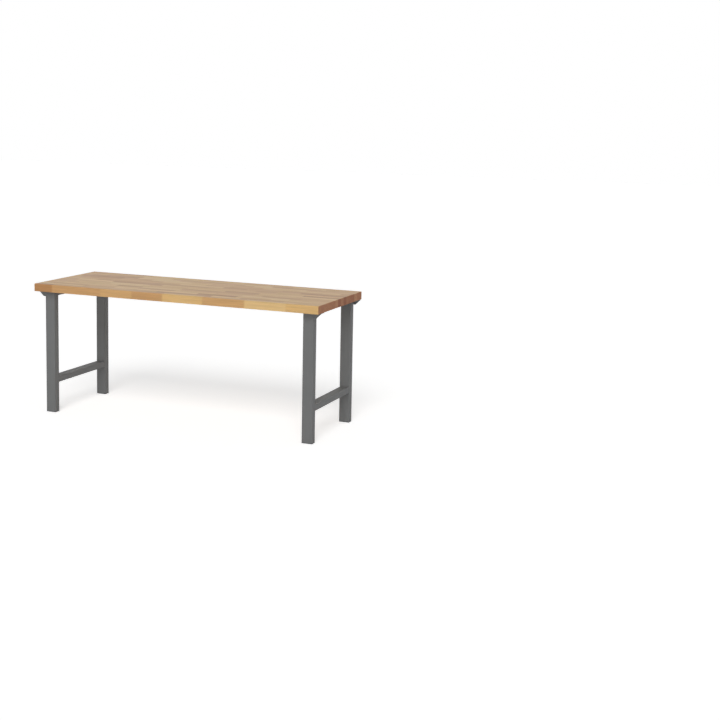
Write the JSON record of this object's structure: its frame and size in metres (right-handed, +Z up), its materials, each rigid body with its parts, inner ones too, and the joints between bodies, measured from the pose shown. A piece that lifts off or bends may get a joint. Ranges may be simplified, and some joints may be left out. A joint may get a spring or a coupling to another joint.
{
  "type": "workbench",
  "caption": "Long workbench with a thick glued beech worktop on two grey powder-coated steel end frames, each with a low crossbar, top brackets and plastic foot caps.",
  "frame": {"origin": "on the floor under the middle of the worktop", "axes": "+X along the bench towards its right end, +Y from the front edge to the back edge, +Z up"},
  "size_m": [2, 0.7, 0.85],
  "materials": {
    "worktop_beech": "beech staves, glued, sanded and oiled",
    "frame_steel": "mid grey powder coat, satin",
    "foot_plastic": "moulded grey plastic, matt",
    "screw_zinc": "zinc-plated steel"
  },
  "bodies": {
    "root": {"worktop": "worktop_beech", "leg_front_left": "frame_steel", "leg_back_left": "frame_steel", "leg_front_right": "frame_steel", "leg_back_right": "frame_steel", "crossbar_left": "frame_steel", "crossbar_right": "frame_steel", "top_rail_left": "frame_steel", "top_rail_right": "frame_steel", "bracket_front_left": "frame_steel", "bracket_back_left": "frame_steel", "bracket_front_right": "frame_steel", "bracket_back_right": "frame_steel", "foot_cap_front_left": "foot_plastic", "foot_cap_back_left": "foot_plastic", "foot_cap_front_right": "foot_plastic", "foot_cap_back_right": "foot_plastic", "screw_front_left_1": "screw_zinc", "screw_front_left_2": "screw_zinc", "screw_back_left_1": "screw_zinc", "screw_back_left_2": "screw_zinc", "screw_front_right_1": "screw_zinc", "screw_front_right_2": "screw_zinc", "screw_back_right_1": "screw_zinc", "screw_back_right_2": "screw_zinc"}
  },
  "joints": []
}
